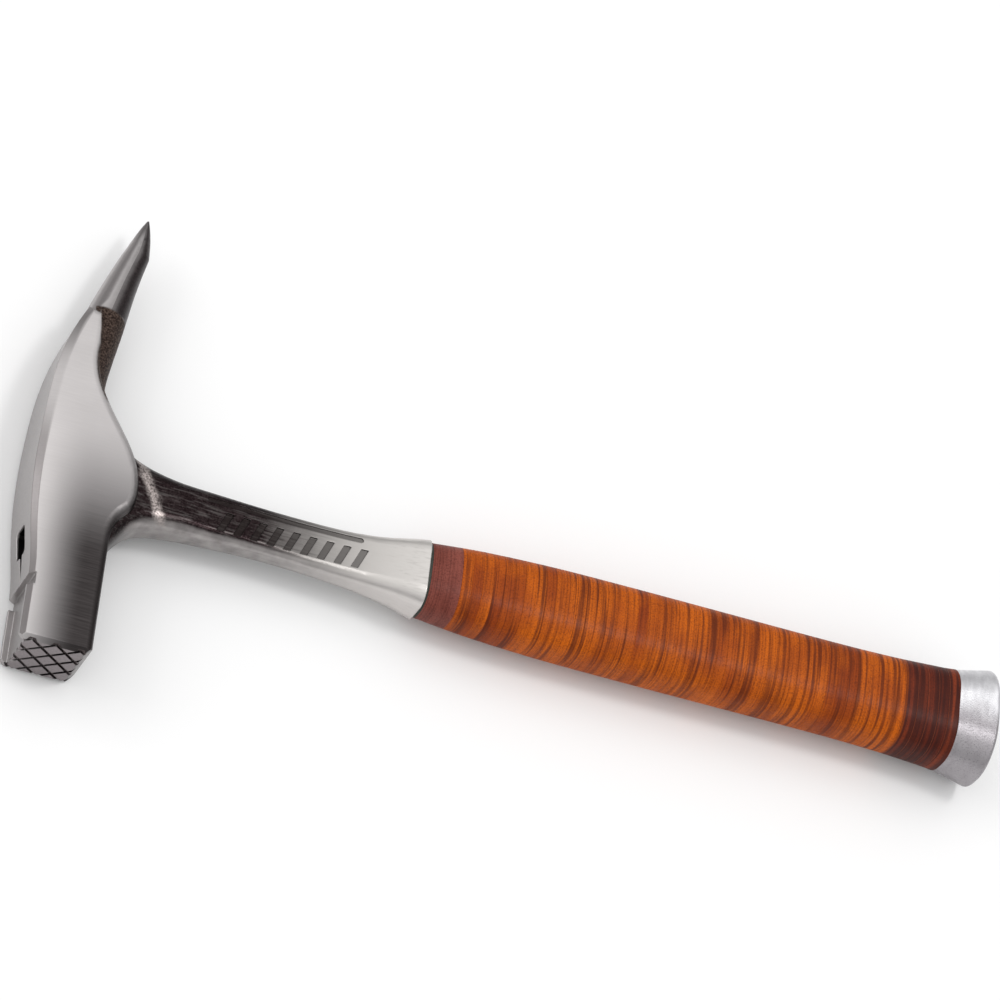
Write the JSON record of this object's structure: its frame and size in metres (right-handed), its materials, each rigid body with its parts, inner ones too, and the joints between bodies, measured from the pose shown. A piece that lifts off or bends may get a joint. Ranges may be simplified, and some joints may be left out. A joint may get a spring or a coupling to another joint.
{
  "type": "roofing hammer",
  "caption": "One-piece forged steel roofing hammer with a square waffle face, a magnetic nail holder, a curved spike and a stacked leather washer grip with an aluminium end cap.",
  "frame": {"origin": "centre of the square striking face", "axes": "+X along the handle to the butt, +Y from the striking face to the spike, +Z square to the ground cheeks"},
  "size_m": [0.3277, 0.1614, 0.0292],
  "materials": {
    "forged_steel": "ground bright cheeks and spike, dark polished scale on the neck",
    "magnet": "nickel plated",
    "spacer_fibre": "dull green-grey fibre",
    "tan_leather": "stacked edge grain, sanded and lacquered",
    "dark_leather": "stacked edge grain, sanded and lacquered",
    "cast_aluminium": "satin, fine cast texture",
    "rivet_steel": "plain"
  },
  "bodies": {
    "root": {"end_cap": "cast_aluminium", "forged_body": "forged_steel", "front_dark_washer_1": "dark_leather", "front_dark_washer_2": "dark_leather", "front_dark_washer_3": "dark_leather", "front_spacer": "spacer_fibre", "leather_washer_01": "tan_leather", "leather_washer_02": "tan_leather", "leather_washer_03": "tan_leather", "leather_washer_04": "tan_leather", "leather_washer_05": "tan_leather", "leather_washer_06": "tan_leather", "leather_washer_07": "tan_leather", "leather_washer_08": "tan_leather", "leather_washer_09": "tan_leather", "leather_washer_10": "tan_leather", "leather_washer_11": "tan_leather", "leather_washer_12": "tan_leather", "leather_washer_13": "tan_leather", "leather_washer_14": "tan_leather", "leather_washer_15": "tan_leather", "leather_washer_16": "tan_leather", "leather_washer_17": "tan_leather", "leather_washer_18": "tan_leather", "leather_washer_19": "tan_leather", "leather_washer_20": "tan_leather", "leather_washer_21": "tan_leather", "leather_washer_22": "tan_leather", "leather_washer_23": "tan_leather", "leather_washer_24": "tan_leather", "leather_washer_25": "tan_leather", "leather_washer_26": "tan_leather", "leather_washer_27": "tan_leather", "leather_washer_28": "tan_leather", "leather_washer_29": "tan_leather", "leather_washer_30": "tan_leather", "leather_washer_31": "tan_leather", "leather_washer_32": "tan_leather", "leather_washer_33": "tan_leather", "leather_washer_34": "tan_leather", "leather_washer_35": "tan_leather", "leather_washer_36": "tan_leather", "leather_washer_37": "tan_leather", "leather_washer_38": "tan_leather", "leather_washer_39": "tan_leather", "leather_washer_40": "tan_leather", "leather_washer_41": "tan_leather", "leather_washer_42": "tan_leather", "leather_washer_43": "tan_leather", "leather_washer_44": "tan_leather", "nail_magnet": "magnet", "rear_dark_washer_1": "dark_leather", "rear_dark_washer_2": "dark_leather", "rear_dark_washer_3": "dark_leather", "rear_dark_washer_4": "dark_leather", "rear_dark_washer_5": "dark_leather", "rivet_washer": "rivet_steel"}
  },
  "joints": []
}
